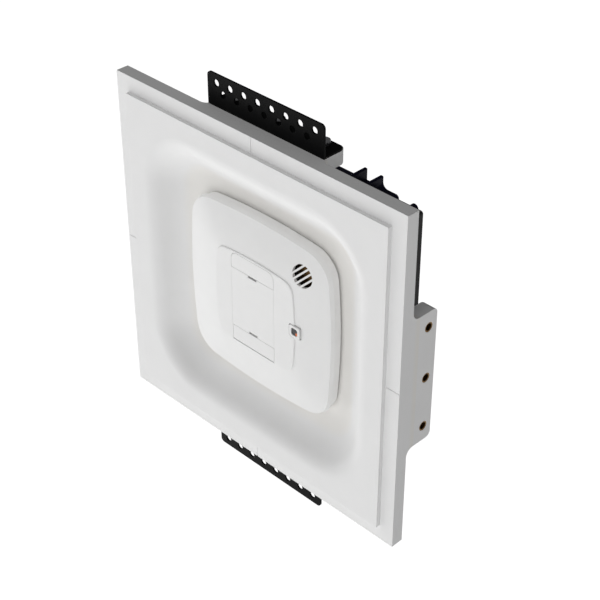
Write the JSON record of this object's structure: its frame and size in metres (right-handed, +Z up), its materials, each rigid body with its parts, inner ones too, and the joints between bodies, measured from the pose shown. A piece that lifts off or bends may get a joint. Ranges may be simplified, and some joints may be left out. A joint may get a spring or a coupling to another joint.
{
  "type": "recessed smoke alarm",
  "caption": "Square trimless plaster-in recess for a wall or ceiling board with a rounded-square smoke alarm twist-locked into its bowl, perforated fixing brackets and a rear box.",
  "frame": {"origin": "centre of the border's front face, which lies in the finished wall face", "axes": "+X to the right across the face, +Y into the wall, +Z up the face; the alarm faces -Y"},
  "size_m": [0.265, 0.0772, 0.3126],
  "materials": {
    "plaster": "matt cast plaster",
    "black_steel": "satin black powder coat",
    "zinc_steel": "zinc plated",
    "brass": "turned brass",
    "charcoal_board": "matt",
    "navy_plastic": "satin moulded",
    "black_rubber": "matt",
    "white_plastic": "fine satin moulded",
    "smoked_lens": "gloss",
    "black_plastic": "matt",
    "board_green": "solder mask",
    "steel_mesh": "woven mesh",
    "clear_epoxy": "clear tinted",
    "dark_epoxy": "dark tinted",
    "spring_steel": "drawn wire",
    "cell_wrap": "shrink sleeve",
    "capacitor_sleeve": "sleeve",
    "ivory_plastic": "moulded"
  },
  "bodies": {
    "mount": {"plaster_frame": "plaster", "threaded_inserts": "brass", "top_bracket": "black_steel", "bottom_bracket": "black_steel", "bracket_screws": "zinc_steel", "backing_plate": "charcoal_board", "back_box": "navy_plastic", "box_collar": "navy_plastic", "box_lid": "navy_plastic", "lid_posts": "navy_plastic", "flange_screws": "zinc_steel", "lid_screws": "zinc_steel", "cable_grommet": "black_rubber", "base_plate": "white_plastic", "base_screws": "zinc_steel"},
    "alarm": {"front_cover": "white_plastic", "centre_insert": "white_plastic", "lamp_frame": "white_plastic", "lamp_lens": "smoked_lens", "rear_housing": "white_plastic", "cover_screws": "zinc_steel", "horn_chamber": "black_plastic", "piezo_disc": "brass", "circuit_board": "board_green", "chamber_base": "black_plastic", "chamber_cover": "black_plastic", "insect_screen": "steel_mesh", "infrared_emitter": "clear_epoxy", "photodiode": "dark_epoxy", "indicator_lamp": "clear_epoxy", "tactile_switch": "black_plastic", "button_guide": "white_plastic", "button_spring": "spring_steel", "battery_bay": "white_plastic", "battery": "cell_wrap", "battery_contacts": "spring_steel", "capacitors": "capacitor_sleeve", "control_chip": "black_plastic", "mains_connector": "ivory_plastic"},
    "button": {"test_button": "white_plastic"},
    "door": {"battery_door": "white_plastic"}
  },
  "joints": [
    {"name": "alarm_twist", "type": "hinge", "parent": "mount", "child": "alarm", "pos_m": [0, 0.02, 0], "axis": [0, -1, 0], "range_deg": [0, 15]},
    {"name": "test_press", "type": "slide", "parent": "alarm", "child": "button", "axis": [0, 1, 0], "range_m": [0, 0.0012], "stiffness_N_per_m": 1500, "deforming": ["button_spring"]},
    {"name": "battery_flap", "type": "hinge", "parent": "alarm", "child": "door", "pos_m": [0, 0.0009, -0.0356], "axis": [1, 0, 0], "range_deg": [0, 95]}
  ]
}
